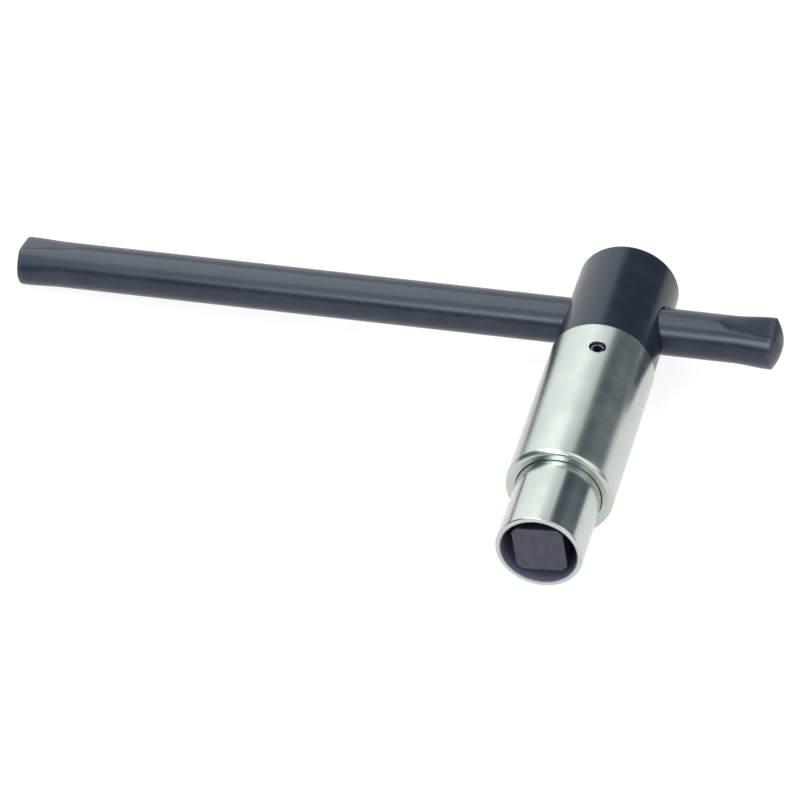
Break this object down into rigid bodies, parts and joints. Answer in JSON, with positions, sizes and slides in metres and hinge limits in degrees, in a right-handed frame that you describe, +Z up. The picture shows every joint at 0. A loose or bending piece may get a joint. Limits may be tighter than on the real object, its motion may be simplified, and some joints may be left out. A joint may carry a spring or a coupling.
{
  "type": "spring-ejector chuck key",
  "caption": "Lathe chuck key with a sliding T-bar, a square drive and a spring-loaded sleeve that pushes the key out of the chuck socket.",
  "frame": {"origin": "on the floor under the middle of the part's box, as the key lies at rest on its housing and the long end of its T-bar", "axes": "+X along the T-bar towards its short end (the bar rises 2.77 degrees that way because its long end rests on the floor), -Y along the tool axis out of the drive end, +Z up"},
  "size_m": [0.2022, 0.1032, 0.0267],
  "materials": {
    "black_oxide_steel": "semi-gloss blue-black oxide",
    "black_oxide_bar": "semi-gloss blue-black oxide on drawn bar",
    "bright_zinc_housing": "bright zinc plated, turned",
    "bright_zinc_sleeve": "bright zinc plated, smooth",
    "spring_steel": "oiled spring wire",
    "pin_steel": "dark hardened spring pin",
    "washer_steel": "plain steel"
  },
  "bodies": {
    "key_body": {"spindle": "black_oxide_steel", "outer_housing": "bright_zinc_housing", "fixing_pin": "pin_steel", "spring_seat_washer": "washer_steel", "ejector_spring": "spring_steel"},
    "sliding_handle": {"t_bar": "black_oxide_bar"},
    "ejector_carrier": {"thrust_washer": "washer_steel"},
    "ejector": {"ejector_sleeve": "bright_zinc_sleeve"}
  },
  "joints": [
    {"name": "ejector_slide", "type": "slide", "parent": "key_body", "child": "ejector_carrier", "axis": [0, 1, 0], "range_m": [0, 0.016], "stiffness_N_per_m": 1050, "springref_m": -0.015, "deforming": ["ejector_spring"]},
    {"name": "sleeve_spin", "type": "hinge", "parent": "ejector_carrier", "child": "ejector", "pos_m": [0.05799, -0.0237, 0.01335], "axis": [0, -1, 0], "continuous": true},
    {"name": "bar_slide", "type": "slide", "parent": "key_body", "child": "sliding_handle", "axis": [0.9988, 0, 0.0483], "range_m": [-0.02, 0.139]}
  ]
}
